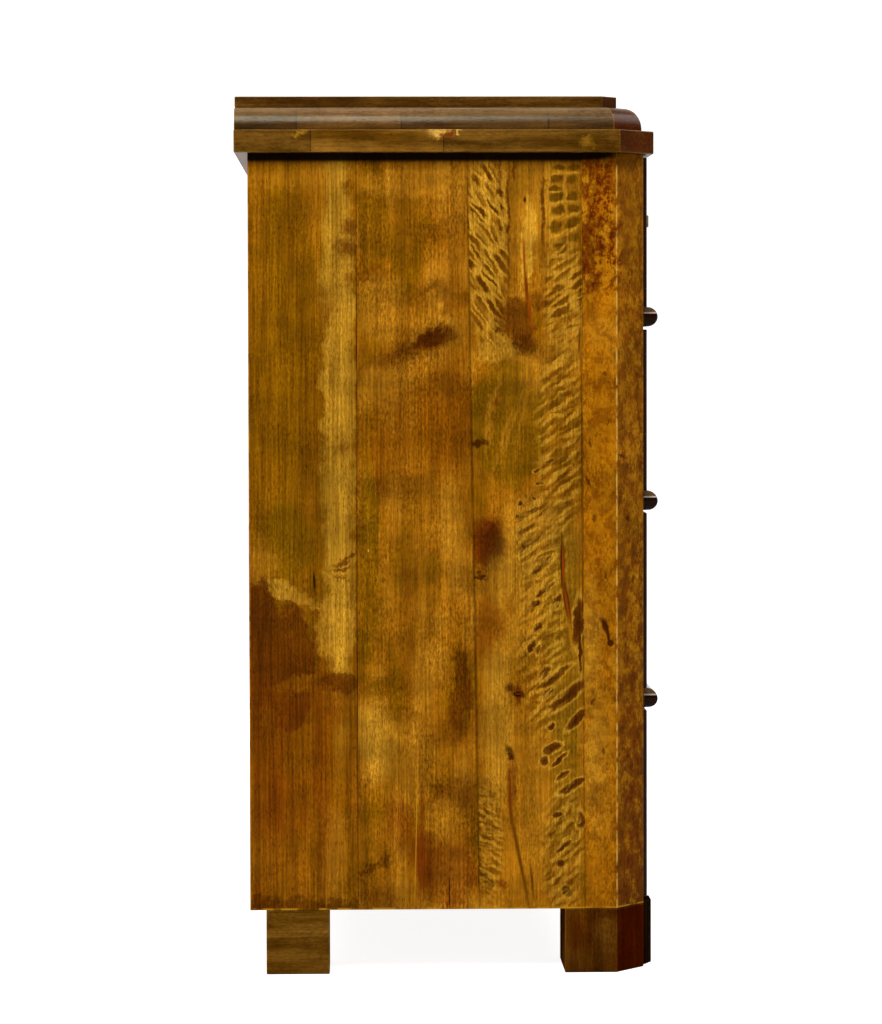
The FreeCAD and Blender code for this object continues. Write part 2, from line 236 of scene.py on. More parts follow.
def make_placed_mark():
    """A leaning oval: how far out a point lies, 1 on the outline, and a mask with a soft edge."""
    inputs = {"Place": "Vector", "Centre": "Vector", "Half Size": "Vector", "Tilt": "Float", "Edge": "Float"}
    tree, given, result = new_group("Placed mark", inputs, {"Reach": "Float", "Mask": "Float"})
    away = vector_calc(tree, "SUBTRACT", given["Place"], given["Centre"])
    level = turned_back(tree, away, given["Tilt"])
    reach = vector_calc(tree, "LENGTH", vector_calc(tree, "DIVIDE", level, given["Half Size"]))
    outside = calc(tree, "ADD", 1.0, given["Edge"])
    inside = calc(tree, "SUBTRACT", 1.0, given["Edge"])
    fill(tree, result, {"Reach": reach, "Mask": spread(tree, reach, outside, inside)})
    return tree


def make_grain():
    """Birch grain running along Z: broad bands, fibres, a pebbly sheen in patches, dark pores and the cloudy
    curl across it."""
    outputs = {"Bands": "Float", "Fibres": "Float", "Pebbles": "Float", "Pores": "Float", "Curl": "Float"}
    tree, given, result = new_group("Grain", {"Along Z": "Vector"}, outputs)
    place = given["Along Z"]
    pebbles = drawn_noise(tree, place, (400.0, 400.0, 170.0), 3.0, 0.7)
    patches = drawn_noise(tree, place, (26.0, 26.0, 14.0), 3.0)
    patches = spread(tree, patches, 0.35, 0.65, 0.35, 1.0)
    figures = {
        "Pebbles": calc(tree, "MULTIPLY_ADD", calc(tree, "SUBTRACT", pebbles, 0.5), patches, 0.5),
        "Bands": drawn_noise(tree, place, (60.0, 60.0, 1.3), 3.0),
        "Fibres": drawn_noise(tree, place, (400.0, 400.0, 12.0), 2.0),
        "Curl": drawn_noise(tree, place, (16.0, 16.0, 28.0), 4.0, 0.6),
        "Pores": spread(tree, drawn_noise(tree, place, (620.0, 620.0, 130.0), 1.0), 0.6, 0.72),
    }
    fill(tree, result, figures)
    return tree


def make_ripples():
    """Flame figure across the grain: the shaded and the lit flanks of waves that lie at a tilt, and by the
    share of cells dark hollows in a pale net."""
    inputs = {"Place": "Vector", "Tilt": "Float", "Length": "Float", "Spacing": "Float", "Cells": "Float"}
    tree, given, result = new_group("Ripples", inputs, {"Shaded": "Float", "Lit": "Float"})
    level = turned_back(tree, given["Place"], given["Tilt"])
    size = join(tree, X=given["Length"], Y=given["Spacing"], Z=1.0)
    waves = vector_calc(tree, "DIVIDE", level, size)
    upper = noise(tree, vector_calc(tree, "ADD", waves, (0.0, 0.45, 0.0)), 1.0, 1.5)
    flank = calc(tree, "SUBTRACT", upper, noise(tree, waves, 1.0, 1.5))
    inputs = {"Vector": waves, "Scale": 1.0, "Randomness": 0.9}
    cell = put(tree, "ShaderNodeTexVoronoi", inputs, voronoi_dimensions="2D").outputs["Color"]
    depth = put(tree, "ShaderNodeSeparateColor", {0: cell}).outputs["Red"]
    rim = put(tree, "ShaderNodeTexVoronoi", inputs, voronoi_dimensions="2D", feature="DISTANCE_TO_EDGE")
    rim = rim.outputs["Distance"]

    def by_cells(mask, share):
        return calc(tree, "MULTIPLY", calc(tree, "MULTIPLY", mask, share), given["Cells"])

    hollow = by_cells(spread(tree, rim, 0.1, 0.3), spread(tree, depth, 0.1, 0.65, 0.25, 1.0))
    net = by_cells(spread(tree, rim, 0.24, 0.06), spread(tree, upper, 0.34, 0.6, 0.3, 1.0))
    waves_left = calc(tree, "MULTIPLY_ADD", given["Cells"], -0.5, 1.0)
    shaded = calc(tree, "MULTIPLY", spread(tree, flank, 0.01, 0.1), waves_left)
    shaded = calc(tree, "MULTIPLY", calc(tree, "MAXIMUM", shaded, hollow), calc(tree, "SUBTRACT", 1.0, net))
    lit = calc(tree, "MULTIPLY", spread(tree, flank, -0.01, -0.13), waves_left)
    fill(tree, result, {"Shaded": shaded, "Lit": calc(tree, "MAXIMUM", lit, net)})
    return tree


def make_veneer_lengths():
    """Lengths of veneer laid end to end, twice as long towards the front and the left: a tone for each, and
    the fine joints."""
    inputs = {"Along": "Float", "First Joint": "Float", "Length": "Float"}
    tree, given, result = new_group("Veneer lengths", inputs, {"Tone": "Float", "Joint": "Float"})
    along = calc(tree, "MAXIMUM", given["Along"], calc(tree, "MULTIPLY", given["Along"], 0.5))
    count = calc(tree, "DIVIDE", calc(tree, "SUBTRACT", along, given["First Joint"]), given["Length"])
    whole = calc(tree, "FLOOR", count)
    tone = put(tree, "ShaderNodeTexWhiteNoise", {"W": whole}, noise_dimensions="1D").outputs["Value"]
    from_joint = calc(tree, "MULTIPLY", calc(tree, "PINGPONG", count, 0.5), given["Length"])
    fill(tree, result, {"Tone": tone, "Joint": spread(tree, from_joint, 0.9 * MM, 0.3 * MM)})
    return tree


def make_worn_edge():
    """Mask of the arrises, rubbed through in patches."""
    tree, given, result = new_group("Worn edge", {"Reach": "Float", "Patches": "Float"}, {"Mask": "Float"})
    rounded = put(tree, "ShaderNodeBevel", {"Radius": given["Reach"]}, samples=6).outputs[0]
    turned = calc(tree, "SUBTRACT", 1.0, vector_calc(tree, "DOT_PRODUCT", rounded, facing(tree)))
    edge = spread(tree, turned, 0.006, 0.07)
    patches = spread(tree, noise(tree, own_place(tree), 30.0, 3.0), 0.36, 0.62)
    kept = calc(tree, "SUBTRACT", 1.0, given["Patches"])
    share = calc(tree, "ADD", kept, calc(tree, "MULTIPLY", given["Patches"], patches))
    fill(tree, result, {"Mask": calc(tree, "MULTIPLY", edge, share)})
    return tree


def make_grime_and_shade():
    """Mask of corners and undersides, by ambient occlusion: dirt and old polish, and painted shade."""
    tree, given, result = new_group("Grime and shade", {"Reach": "Float"}, {"Mask": "Float"})
    shut_in = put(tree, "ShaderNodeAmbientOcclusion", {"Distance": given["Reach"]}, samples=6).outputs["AO"]
    fill(tree, result, {"Mask": spread(tree, shut_in, 0.72, 0.25)})
    return tree


SIDE_PLACE = make_side_place()
PLACED_MARK = make_placed_mark()
GRAIN = make_grain()
RIPPLES = make_ripples()
VENEER_LENGTHS = make_veneer_lengths()
WORN_EDGE = make_worn_edge()
GRIME_AND_SHADE = make_grime_and_shade()


# Finishes

def new_finish(name):
    """An empty material and its node tree."""
    material = bpy.data.materials.new(name)
    material.use_nodes = True
    material.node_tree.nodes.clear()
    return material, material.node_tree


def along_grain(tree, direction):
    """Place on the piece with its grain direction laid on Z; "EDGE" follows the edges of a board."""
    spot = own_place(tree)
    if direction == "Z":
        return spot
    parts = split(tree, spot)

    def laid(order):
        return join(tree, **{axis: parts[source] for axis, source in zip("XYZ", order)})

    if direction == "X":
        return laid("YZX")
    if direction == "Y":
        return laid("ZXY")
    on_the_sides = calc(tree, "GREATER_THAN", sideways(tree), 0.8)
    inputs = {0: on_the_sides, 4: laid("YZX"), 5: laid("ZXY")}
    return put(tree, "ShaderNodeMix", inputs, data_type="VECTOR").outputs[1]


def soiled_and_shaded(tree, colour, reach, strength, tone=PITCH):
    """Dirt and old polish gathered in the corners, with painted shade there."""
    return lay(tree, colour, tone, use(tree, GRIME_AND_SHADE, {"Reach": reach})["Mask"], strength)


def worn_through(tree, colour, reach, patches, strength, tone=WORN):
    """Arrises rubbed through to a paler tone."""
    mask = use(tree, WORN_EDGE, {"Reach": reach, "Patches": patches})["Mask"]
    return lay(tree, colour, tone, mask, strength)


def end_finish(tree, sockets, height, relief, rise, pits=False):
    """Ends a material: fills the shader's sockets and gives the surface a relief, raised or in pits."""
    inputs = {"Height": height, "Strength": relief, "Distance": rise}
    bump = put(tree, "ShaderNodeBump", inputs, invert=pits)
    shader = put(tree, "ShaderNodeBsdfPrincipled", {**sockets, "Normal": bump.outputs["Normal"]})
    put(tree, "ShaderNodeOutputMaterial", {"Surface": shader.outputs[0]})


def polish(tree, colour, grain, smooth, gloss, sheen=CLEAR_SHEEN):
    """Shellac over birch, rougher by its pebbles and with fine pits at its pores: ends the material."""
    roughness = spread(tree, grain["Pebbles"], 0.3, 0.7, *smooth)
    sockets = {"Base Color": colour, "Roughness": roughness}
    sockets.update({"Specular IOR Level": gloss, "Specular Tint": sheen})
    end_finish(tree, sockets, grain["Pores"], 0.15, 0.6 * MM, pits=True)


def oval(tree, place, across, up, half_width, half_height, tilt=0.0, edge=0.3):
    """An oval on the side of the chest: in from the back edge, up from the bottom edge, half width and half
    height in mm, then tilt in degrees and softness of the edge."""
    inputs = {
        "Place": place,
        "Centre": (across * MM, up * MM, 0.0),
        "Half Size": (half_width * MM, half_height * MM, 1.0),
        "Tilt": math.radians(tilt),
        "Edge": edge,
    }
    return use(tree, PLACED_MARK, inputs)


def in_one_tone(ovals, edge, tone, strength):
    """Marks that share the softness of their edge, their tone and their strength."""
    return [(*place, edge, tone, strength) for place in ovals]


def lay_marks(tree, colour, place, marks):
    """Ovals given one by one, each with its tone and strength. Neighbours in one tone are laid as one."""
    for (tone, strength), alike in itertools.groupby(marks, key=lambda mark: mark[6:]):
        mask = 0.0
        for mark in alike:
            mask = calc(tree, "MAXIMUM", mask, oval(tree, place, *mark[:6])["Mask"])
        colour = lay(tree, colour, tone, mask, strength)
    return colour


def lay_hollows(tree, colour, place, hollows):
    """Dark lens-shaped hollows of the flame figure, each with a pale rim and a darker heart."""
    far_off, rim_outside, rim_inside, heart, middle = 9.0, 1.75, 1.35, 0.9, 0.2
    nearest = far_off
    for hollow in hollows:
        nearest = calc(tree, "MINIMUM", nearest, oval(tree, place, *hollow)["Reach"])
    colour = blend(tree, spread(tree, nearest, rim_outside, rim_inside, 0.0, 0.8), colour, PALE)
    colour = blend(tree, spread(tree, nearest, rim_inside, heart, 0.0, 0.95), colour, UMBER)
    return blend(tree, spread(tree, nearest, heart, middle, 0.0, 0.6), colour, SMOKE)


def lay_ripples(tree, colour, place, ripples):
    """Flame figure in ovals placed like the marks: tilt in degrees, length and spacing in mm, strength and
    share of cells."""
    lit, shaded = 0.0, 0.0
    for *patch, tilt, length, spacing, strength, cells in ripples:
        mask = calc(tree, "MULTIPLY", oval(tree, place, *patch)["Mask"], strength)
        inputs = {"Place": place, "Tilt": math.radians(tilt), "Cells": cells}
        inputs.update({"Length": length * MM, "Spacing": spacing * MM})
        figure = use(tree, RIPPLES, inputs)
        lit = calc(tree, "MAXIMUM", lit, calc(tree, "MULTIPLY", figure["Lit"], mask))
        shaded = calc(tree, "MAXIMUM", shaded, calc(tree, "MULTIPLY", figure["Shaded"], mask))
    return blend(tree, shaded, blend(tree, lit, colour, FLAME_PALE), FLAME_DARK)


def lay_burl(tree, colour, place, spot, patches):
    """Red burl with gold and dark eyes, in ovals placed like the marks, each with its strength."""
    eyes = drawn_noise(tree, spot, (60.0, 60.0, 50.0), 6.0, 0.75)
    rusty = blend(tree, spread(tree, eyes, 0.47, 0.4, 0.0, 0.85), colour, BURL_GOLD)
    rusty = blend(tree, spread(tree, eyes, 0.49, 0.54), rusty, RUST)
    rusty = blend(tree, spread(tree, eyes, 0.55, 0.61), rusty, SMOKE)
    specks = noise(tree, spot, 230.0, 2.0)
    rusty = blend(tree, spread(tree, specks, 0.57, 0.68, 0.0, 0.7), rusty, UMBER)
    for *patch, strength in patches:
        colour = lay(tree, colour, rusty, oval(tree, place, *patch, edge=0.5)["Mask"], strength)
    return colour


def clouded(tree, spot, repeats, dark, middle, light):
    """Ground of figured birch, in soft clouds of three tones."""
    clouds = drawn_noise(tree, spot, repeats, 5.0, 0.6)
    colour = blend(tree, spread(tree, clouds, 0.38, 0.5), dark, middle)
    return blend(tree, spread(tree, clouds, 0.48, 0.64), colour, light)


def grained(tree, colour, grain, bands, fibres, pebbles, pores):
    """Works the grain into a colour, each part by its own depth: browner where dark, bleached where light."""
    for part, depth in (("Bands", bands), ("Fibres", fibres), ("Pebbles", pebbles)):
        dark = (1.0 - 0.8 * depth, 1.0 - 0.9 * depth, 1.0 - depth, 1.0)
        light = (1.0 + 0.8 * depth, 1.0 + 0.9 * depth, 1.0 + 1.3 * depth, 1.0)
        shade = blend(tree, spread(tree, grain[part], 0.28, 0.72), dark, light)
        colour = blend(tree, 1.0, colour, shade, "MULTIPLY")
    pore_shade = (0.45, 0.35, 0.2, 1.0)
    return blend(tree, calc(tree, "MULTIPLY", grain["Pores"], pores), colour, pore_shade, "MULTIPLY")


def side_birch(name, ground, washes, marks, cracks, ripples=(), bars=(), hollows=(), burl=(), rubbed=(),
               pebbles=0.7, streaks=1.0, curl=0.26, cloud_length=0.14):
    """Figured birch of one upright board of the sides. Washes and marks have ragged outlines, bars wavy ones,
    cracks and rubbed lines straight ones; the cracks also carry the painted shadow under the top."""
    material, tree = new_finish(name)
    spot = along_grain(tree, "Z")
    side = use(tree, SIDE_PLACE)
    grain = use(tree, GRAIN, {"Along Z": spot})
    colour = clouded(tree, spot, (22.0, 22.0, 1.0 / cloud_length), *ground)
    colour = lay_marks(tree, colour, side["Ragged"], washes)
    shaded = (1.0 - curl, 1.0 - curl, 1.0 - curl, 1.0)
    lit = (1.0 + curl, 1.0 + curl, 1.0 + curl, 1.0)
    curled = blend(tree, spread(tree, grain["Curl"], 0.3, 0.7), shaded, lit)
    colour = blend(tree, 1.0, colour, curled, "MULTIPLY")
    if burl:
        colour = lay_burl(tree, colour, side["Ragged"], spot, burl)
    colour = lay_marks(tree, colour, side["Ragged"], marks)
    colour = lay_marks(tree, colour, side["Wavy"], bars)
    if hollows:
        colour = lay_hollows(tree, colour, side["Wavy"], hollows)
    if ripples:
        colour = lay_ripples(tree, colour, side["Wavy"], ripples)
    colour = grained(tree, colour, grain, 0.18 * streaks, 0.24 * streaks, pebbles, 0.6 * streaks)
    bottom_edge = (230, 0.6, 900, 1.6, 0, 0.4, PALE, 0.8)
    worn_lines = lay_marks(tree, colour, side["Place"], [bottom_edge, *rubbed])
    colour = blend(tree, spread(tree, noise(tree, spot, 60.0, 4.0), 0.38, 0.58), colour, worn_lines)
    colour = lay_marks(tree, colour, side["Place"], cracks)
    polish(tree, colour, grain, (0.36, 0.5), 0.015)
    return material


def stained_birch(name, ground, light, grain_along, wear, front_tone=None, joints=None, dusty_top_light=None,
                  brow_highlight=None, marks=(), gloss=0.03, smooth=(0.26, 0.4)):
    """Darker stained birch of the top, the feet and the pulls. It can have another tone on what faces
    forward, joints in its veneer, dust and painted top light on what faces up, a painted highlight line
    along the upper curve of a round, and marks."""
    material, tree = new_finish(name)
    spot = along_grain(tree, grain_along)
    grain = use(tree, GRAIN, {"Along Z": spot})
    faces = split(tree, facing(tree))
    clouds = drawn_noise(tree, spot, (44.0, 44.0, 6.0), 5.0, 0.6)
    colour = blend(tree, spread(tree, clouds, 0.36, 0.64), ground, light)
    if joints is not None:
        first, length = joints
        along = split(tree, spot)["Z"]
        lengths = use(tree, VENEER_LENGTHS, {"Along": along, "First Joint": first, "Length": length})
        colour = shaded_by(tree, colour, lengths["Tone"], 0.0, 1.0, 0.72, 1.3)
        colour = lay(tree, colour, PITCH, lengths["Joint"], 0.6)
    if front_tone is not None:
        colour = blend(tree, spread(tree, faces["Y"], -0.35, -0.68, 0.0, 0.85), colour, front_tone)
    # Dust and painted top light on what faces up
    if dusty_top_light is not None:
        start, full, strength = dusty_top_light
        colour = blend(tree, spread(tree, faces["Z"], start, full, 0.0, strength), colour, DUST_AND_TOP_LIGHT)
    # A painted highlight line along the upper curve of a round
    if brow_highlight is not None:
        line = spread(tree, faces["Z"], 0.5, 0.4, 0.0, brow_highlight)
        line = calc(tree, "MULTIPLY", line, spread(tree, faces["Z"], 0.28, 0.34))
        colour = blend(tree, line, colour, HIGHLIGHT_PALE)
    if marks:
        colour = lay_marks(tree, colour, use(tree, SIDE_PLACE)["Ragged"], marks)
    colour = shaded_by(tree, colour, grain["Curl"], 0.3, 0.7, 0.85, 1.15)
    colour = grained(tree, colour, grain, bands=0.15, fibres=0.2, pebbles=0.36, pores=0.5)
    # Dirt and painted shade in the corners
    colour = soiled_and_shaded(tree, colour, 12 * MM, 0.7)
    colour = worn_through(tree, colour, 1.8 * MM, 0.7, wear)
    polish(tree, colour, grain, smooth, gloss, STAIN_SHEEN)
    return material


def front_birch():
    """Drawer fronts: birch with its flame across the front, dark red-brown where the ends stand proud."""
    material, tree = new_finish("front_birch")
    spot = along_grain(tree, "X")
    grain = use(tree, GRAIN, {"Along Z": spot})
    parts = split(tree, spot)
    sway = calc(tree, "MULTIPLY", calc(tree, "SUBTRACT", noise(tree, spot, 12.0, 2.0), 0.5), 0.08)
    place = join(tree, X=calc(tree, "ADD", parts["Z"], sway), Y=parts["Y"])
    colour = clouded(tree, spot, (22.0, 22.0, 7.0), BROWN, HONEY, GOLD)
    inputs = {"Place": place, "Tilt": math.radians(80), "Length": 0.15, "Spacing": 0.032, "Cells": 0.0}
    flame = use(tree, RIPPLES, inputs)
    strength = spread(tree, drawn_noise(tree, spot, (7.0, 7.0, 4.0), 3.0), 0.36, 0.62, 0.12, 0.5)
    colour = lay(tree, colour, PALE, flame["Lit"], strength)
    colour = lay(tree, colour, UMBER, flame["Shaded"], strength)
    colour = shaded_by(tree, colour, grain["Curl"], 0.3, 0.7, 0.78, 1.22)
    colour = grained(tree, colour, grain, bands=0.14, fibres=0.2, pebbles=0.4, pores=0.6)
    post_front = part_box("left_corner_post")[0].y
    on_the_ends = sideways(tree)
    proud = calc(tree, "LESS_THAN", parts["X"], post_front)
    colour = lay(tree, colour, FRONT_RED, spread(tree, on_the_ends, 0.5, 0.8), proud)
    # Dirt and painted shade in the corners
    colour = soiled_and_shaded(tree, colour, 10 * MM, 0.6)
    colour = worn_through(tree, colour, 1.5 * MM, 0.8, 0.35)
    polish(tree, colour, grain, (0.3, 0.42), 0.1)
    return material


def ebonised_birch():
    """Black stain that is rubbed brown at the arrises."""
    material, tree = new_finish("ebonised_birch")
    grain = use(tree, GRAIN, {"Along Z": along_grain(tree, "Z")})
    colour = blend(tree, spread(tree, grain["Fibres"], 0.35, 0.7), EBONY, EBONY_BROWN)
    colour = worn_through(tree, colour, 1.8 * MM, 0.8, 0.7, EBONY_WORN)
    polish(tree, colour, grain, (0.3, 0.45), 0.0)
    return material


def bare_pine(name, grain_along):
    """Unfinished pine, browned by age, with darker winter grain."""
    material, tree = new_finish(name)
    spot = along_grain(tree, grain_along)
    grain = use(tree, GRAIN, {"Along Z": spot})
    rings = drawn_noise(tree, spot, (52.0, 52.0, 0.8), 1.0)
    bands = calc(tree, "PINGPONG", calc(tree, "MULTIPLY", rings, 9.0), 1.0)
    colour = blend(tree, spread(tree, bands, 0.55, 0.95), PINE, PINE_DARK)
    colour = shaded_by(tree, colour, grain["Bands"], 0.3, 0.7, 0.84, 1.12)
    spots = noise(tree, spot, 9.0, 4.0)
    colour = blend(tree, spread(tree, spots, 0.52, 0.75, 0.0, 0.5), colour, PINE_DARK)
    # Dirt and painted shade in the corners
    colour = soiled_and_shaded(tree, colour, 20 * MM, 0.6, BROWN)
    colour = worn_through(tree, colour, 2 * MM, 0.8, 0.4, PINE)
    roughness = spread(tree, grain["Fibres"], 0.3, 0.7, 0.6, 0.8)
    sockets = {"Base Color": colour, "Roughness": roughness, "Specular IOR Level": 0.2}
    end_finish(tree, sockets, grain["Fibres"], 0.3, 0.6 * MM)
    return material


def worn_metal(name, ground, tarnish, metallic, smooth):
    """Hand-worked iron or steel with tarnish in spots, dirt and painted shade in its corners and rubbed
    arrises.
    """
    material, tree = new_finish(name)
    spots = noise(tree, own_place(tree), 160.0, 5.0)
    colour = blend(tree, spread(tree, spots, 0.42, 0.7), ground, tarnish)
    # Dirt and painted shade in the corners
    colour = soiled_and_shaded(tree, colour, 6 * MM, 0.6)
    colour = worn_through(tree, colour, 1 * MM, 0.5, 0.6, STEEL)
    roughness = spread(tree, spots, 0.35, 0.7, *smooth)
    sockets = {"Base Color": colour, "Roughness": roughness, "Metallic": metallic}
    end_finish(tree, sockets, spots, 0.2, 0.4 * MM)
    return material


# Figured birch of the sides, board by board

# Painted shadow close under the overhang of the top: a near-black band along the top of the sides
PAINTED_SHADOW_UNDER_TOP = (230, 905, 2000, 8, 0, 0.3, SHADOW, 0.98)


def rear_board_birch():
    """Rear board: olive bands, a flecked gold band by the joint, and a dark cloud below with a pale rim."""
    washes = [
        (62, 876, 62, 14, 0, 0.5, GOLD, 0.4),
        (108, 610, 20, 400, 0, 0.25, STRAW, 0.9),
        (50, 800, 40, 70, 0, 0.5, MOSS, 0.3),
        (36, 560, 32, 290, 0, 0.3, OLIVE, 0.7),
        (66, 690, 12, 170, 0, 0.3, OLIVE, 0.8),
        (46, 443, 30, 50, 0, 0.3, MOSS, 0.85),
        (16, 418, 20, 24, 0, 0.4, GOLD, 0.6),
        (48, 380, 44, 9, -20, 0.25, PALE, 0.7),
        (16, 318, 26, 80, 0, 0.1, UMBER, 0.92),
        (50, 290, 28, 75, 0, 0.1, UMBER, 0.92),
        (58, 325, 14, 20, 0, 0.4, BROWN, 0.5),
        (102, 340, 22, 44, 0, 0.14, PALE, 0.55),
        (62, 272, 26, 8, 14, 0.4, HONEY, 0.6),
        (36, 205, 60, 70, 0, 0.3, UMBER, 0.2),
        (98, 255, 26, 36, 0, 0.3, BROWN, 0.8),
        (108, 276, 24, 12, 8, 0.2, UMBER, 0.8),
        (95, 160, 34, 70, 0, 0.4, BROWN, 0.25),
        (45, 120, 26, 40, 0, 0.4, RUST, 0.3),
        (100, 60, 16, 60, 0, 0.5, GOLD, 0.7),
        (30, 60, 26, 36, 0, 0.5, HONEY, 0.6),
        (55, 140, 70, 130, 0, 0.6, CHESTNUT, 0.18),
        (61, 6, 90, 9, 0, 0.5, SMOKE, 0.6),
    ]
    marks = [
        (122, 866, 9, 6, 0, 0.7, UMBER, 0.7),
        (120, 822, 10, 9, 0, 0.7, UMBER, 0.8),
        (118, 796, 12, 11, 0, 0.7, UMBER, 0.8),
        (122, 755, 6, 10, 0, 0.7, BROWN, 0.7),
        (92, 715, 8, 22, 0, 0.7, BROWN, 0.6),
        (115, 556, 9, 11, 0, 0.8, UMBER, 0.6),
        (115, 421, 13, 4, 22, 0.5, UMBER, 0.85),
        (112, 409, 10, 4, 10, 0.5, UMBER, 0.85),
        (112, 397, 8, 3, 4, 0.5, UMBER, 0.7),
        (80, 385, 16, 14, 0, 0.6, OLIVE, 0.8),
    ]
    cracks = [
        (78, 396, 1.3, 11, 3, 0.5, PITCH, 0.9),
        (129.2, 453, 0.7, 470, 0, 0.4, SMOKE, 0.5),
        PAINTED_SHADOW_UNDER_TOP,
    ]
    rubbed = [(0, 453, 1.6, 900, 0, 0.5, AMBER, 0.9)]
    ground = (BROWN, OLIVE, HONEY)
    return side_birch("rear_board_birch", ground, washes, marks, cracks, rubbed=rubbed,
                      pebbles=0.42, streaks=1.4, curl=0.18, cloud_length=0.4)


def middle_board_birch():
    """Middle board: flecked gold with an olive patch, a dark smear rising to the front and a pale crack."""
    washes = [
        (150, 826, 20, 78, 0, 0.1, OLIVE, 0.85),
        (190, 820, 20, 60, 0, 0.5, OLIVE, 0.5),
        (240, 810, 22, 60, 0, 0.5, BROWN, 0.5),
        (200, 872, 70, 16, 0, 0.4, GOLD, 0.6),
        (150, 762, 20, 14, 0, 0.2, BROWN, 0.7),
        (160, 722, 30, 40, 0, 0.2, GOLD, 0.6),
        (182, 662, 54, 13, 22, 0.5, UMBER, 0.75),
        (218, 684, 28, 12, 14, 0.4, UMBER, 0.95),
        (250, 730, 18, 15, 0, 0.3, BROWN, 0.7),
        (165, 628, 40, 26, 20, 0.4, GOLD, 0.7),
        (190, 560, 70, 70, 0, 0.5, BROWN, 0.5),
        (240, 600, 36, 70, 0, 0.3, BROWN, 0.8),
        (165, 550, 24, 30, 0, 0.5, BROWN, 0.5),
        (142, 420, 12, 130, 0, 0.3, MOSS, 0.8),
        (146, 380, 20, 60, 0, 0.4, OLIVE, 0.7),
        (205, 420, 40, 110, 0, 0.4, GOLD, 0.15),
        (190, 330, 8, 120, 0, 0.6, BROWN, 0.5),
        (160, 265, 20, 10, 0, 0.4, OLIVE, 0.8),
        (150, 205, 20, 46, 0, 0.4, PALE, 0.7),
        (252, 263, 13, 50, 0, 0.3, UMBER, 0.8),
        (240, 215, 20, 18, 0, 0.4, UMBER, 0.6),
        (190, 180, 30, 50, 0, 0.5, GOLD, 0.6),
        (240, 137, 27, 18, 10, 0.4, UMBER, 0.6),
        (182, 104, 16, 28, 0, 0.5, RUST, 0.5),
        (206, 62, 12, 40, 0, 0.4, RUST, 0.7),
        (240, 42, 30, 40, 0, 0.4, RUST, 0.6),
        (230, 110, 20, 20, 0, 0.4, GOLD, 0.5),
        (151, 16, 30, 20, 0, 0.5, SMOKE, 0.6),
    ]
    marks = [
        (220, 687, 22, 11, 14, 0.8, SMOKE, 0.65),
        (222, 743, 30, 7, 16, 0.9, UMBER, 0.65),
        (160, 506, 12, 9, 0, 0.8, UMBER, 0.5),
        (145, 48, 18, 4, 0, 0.7, SMOKE, 0.7),
        (165, 56, 8, 5, 0, 0.7, SMOKE, 0.6),
    ]
    cracks = [
        (205, 80, 4, 74, -1, 0.6, RUST, 0.5),
        (199.5, 92, 0.6, 90, -1.2, 0.4, PALE, 0.8),
        (239, 20, 0.8, 19, 0, 0.3, PITCH, 0.9),
        (143, 432, 0.9, 1.8, 0, 0.4, WORN, 0.8),
        (268, 453, 0.9, 470, 0.9, 0.5, PITCH, 0.45),
        PAINTED_SHADOW_UNDER_TOP,
    ]
    ground = (OLIVE, HONEY, GOLD)
    return side_birch("middle_board_birch", ground, washes, marks, cracks, pebbles=0.6, streaks=1.2)


